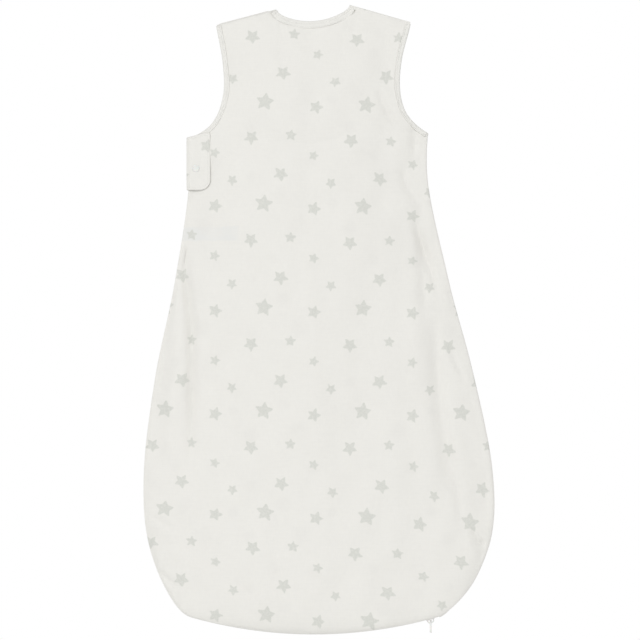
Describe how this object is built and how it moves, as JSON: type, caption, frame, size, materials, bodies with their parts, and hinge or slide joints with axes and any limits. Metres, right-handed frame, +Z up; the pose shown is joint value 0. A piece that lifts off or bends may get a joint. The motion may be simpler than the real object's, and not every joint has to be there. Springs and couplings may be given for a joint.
{
  "type": "baby sleeping bag",
  "caption": "Sleeveless baby sleeping bag in star-print jersey, with a side and hem zip, a popper tab under the arm and a popper shoulder.",
  "frame": {"origin": "midway between the shoulders, level with the neck points, where a hanger holds the bag", "axes": "+Z up along the bag from hem to shoulders, -Y out of the back panel, +Y out of the front panel, +X towards the sewn side"},
  "size_m": [0.3891, 0.0514, 0.7002],
  "materials": {
    "jersey": "off-white brushed jersey with a pale grey star print",
    "lining": "plain white jersey",
    "binding": "fine rib knit",
    "zip_tape": "woven polyester tape",
    "zip_coil": "satin moulded nylon",
    "slider": "white enamel",
    "pull": "soft moulded plastic",
    "popper": "satin moulded plastic",
    "label": "white satin tape, blank"
  },
  "bodies": {
    "bag": {"back_panel": "jersey", "front_panel": "jersey", "tab_root": "jersey", "shoulder_fold": "jersey", "zip_garage": "jersey", "back_lining": "lining", "front_lining": "lining", "side_seam": "lining", "shoulder_seam": "lining", "zip_guard": "lining", "neck_binding": "binding", "armhole_binding_right": "binding", "armhole_binding_left_back": "binding", "armhole_binding_left_front": "binding", "zip_tape_back": "zip_tape", "zip_tape_front": "zip_tape", "zip_coil_back": "zip_coil", "zip_coil_front": "zip_coil", "zip_box": "zip_coil", "zip_pin": "zip_coil", "zip_end_stops": "zip_coil", "tab_popper_stud": "popper", "tab_popper_ring": "popper", "flap_popper_studs": "popper", "flap_popper_rings": "popper", "care_label": "label", "neck_label": "label"},
    "underarm_tab": {"tab_outer": "jersey", "tab_facing": "lining", "tab_popper_cap": "popper", "tab_popper_socket": "popper"},
    "shoulder_flap": {"flap_outer": "jersey", "flap_facing": "lining", "flap_popper_caps": "popper", "flap_popper_sockets": "popper"},
    "zip_slider": {"slider_body": "slider", "slider_bridge": "slider"},
    "zip_pull": {"slider_pull": "pull"}
  },
  "joints": [
    {"name": "tab_fold", "type": "hinge", "parent": "bag", "child": "underarm_tab", "pos_m": [-0.14234, -0.00805, -0.177], "axis": [0, 0, -1], "range_deg": [0, 150]},
    {"name": "shoulder_fold_line", "type": "hinge", "parent": "bag", "child": "shoulder_flap", "pos_m": [-0.0752, 0.00835, -0.01398], "axis": [0.9666, 0, 0.2563], "range_deg": [0, 160]},
    {"name": "slider_run", "type": "hinge", "parent": "bag", "child": "zip_slider", "pos_m": [0, 0, -0.2], "axis": [0, 1, 0], "range_deg": [0, 29]},
    {"name": "pull_pivot", "type": "hinge", "parent": "zip_slider", "child": "zip_pull", "pos_m": [0.13011, 0, -0.68557], "axis": [0, 1, 0], "range_deg": [-90, 60]}
  ]
}
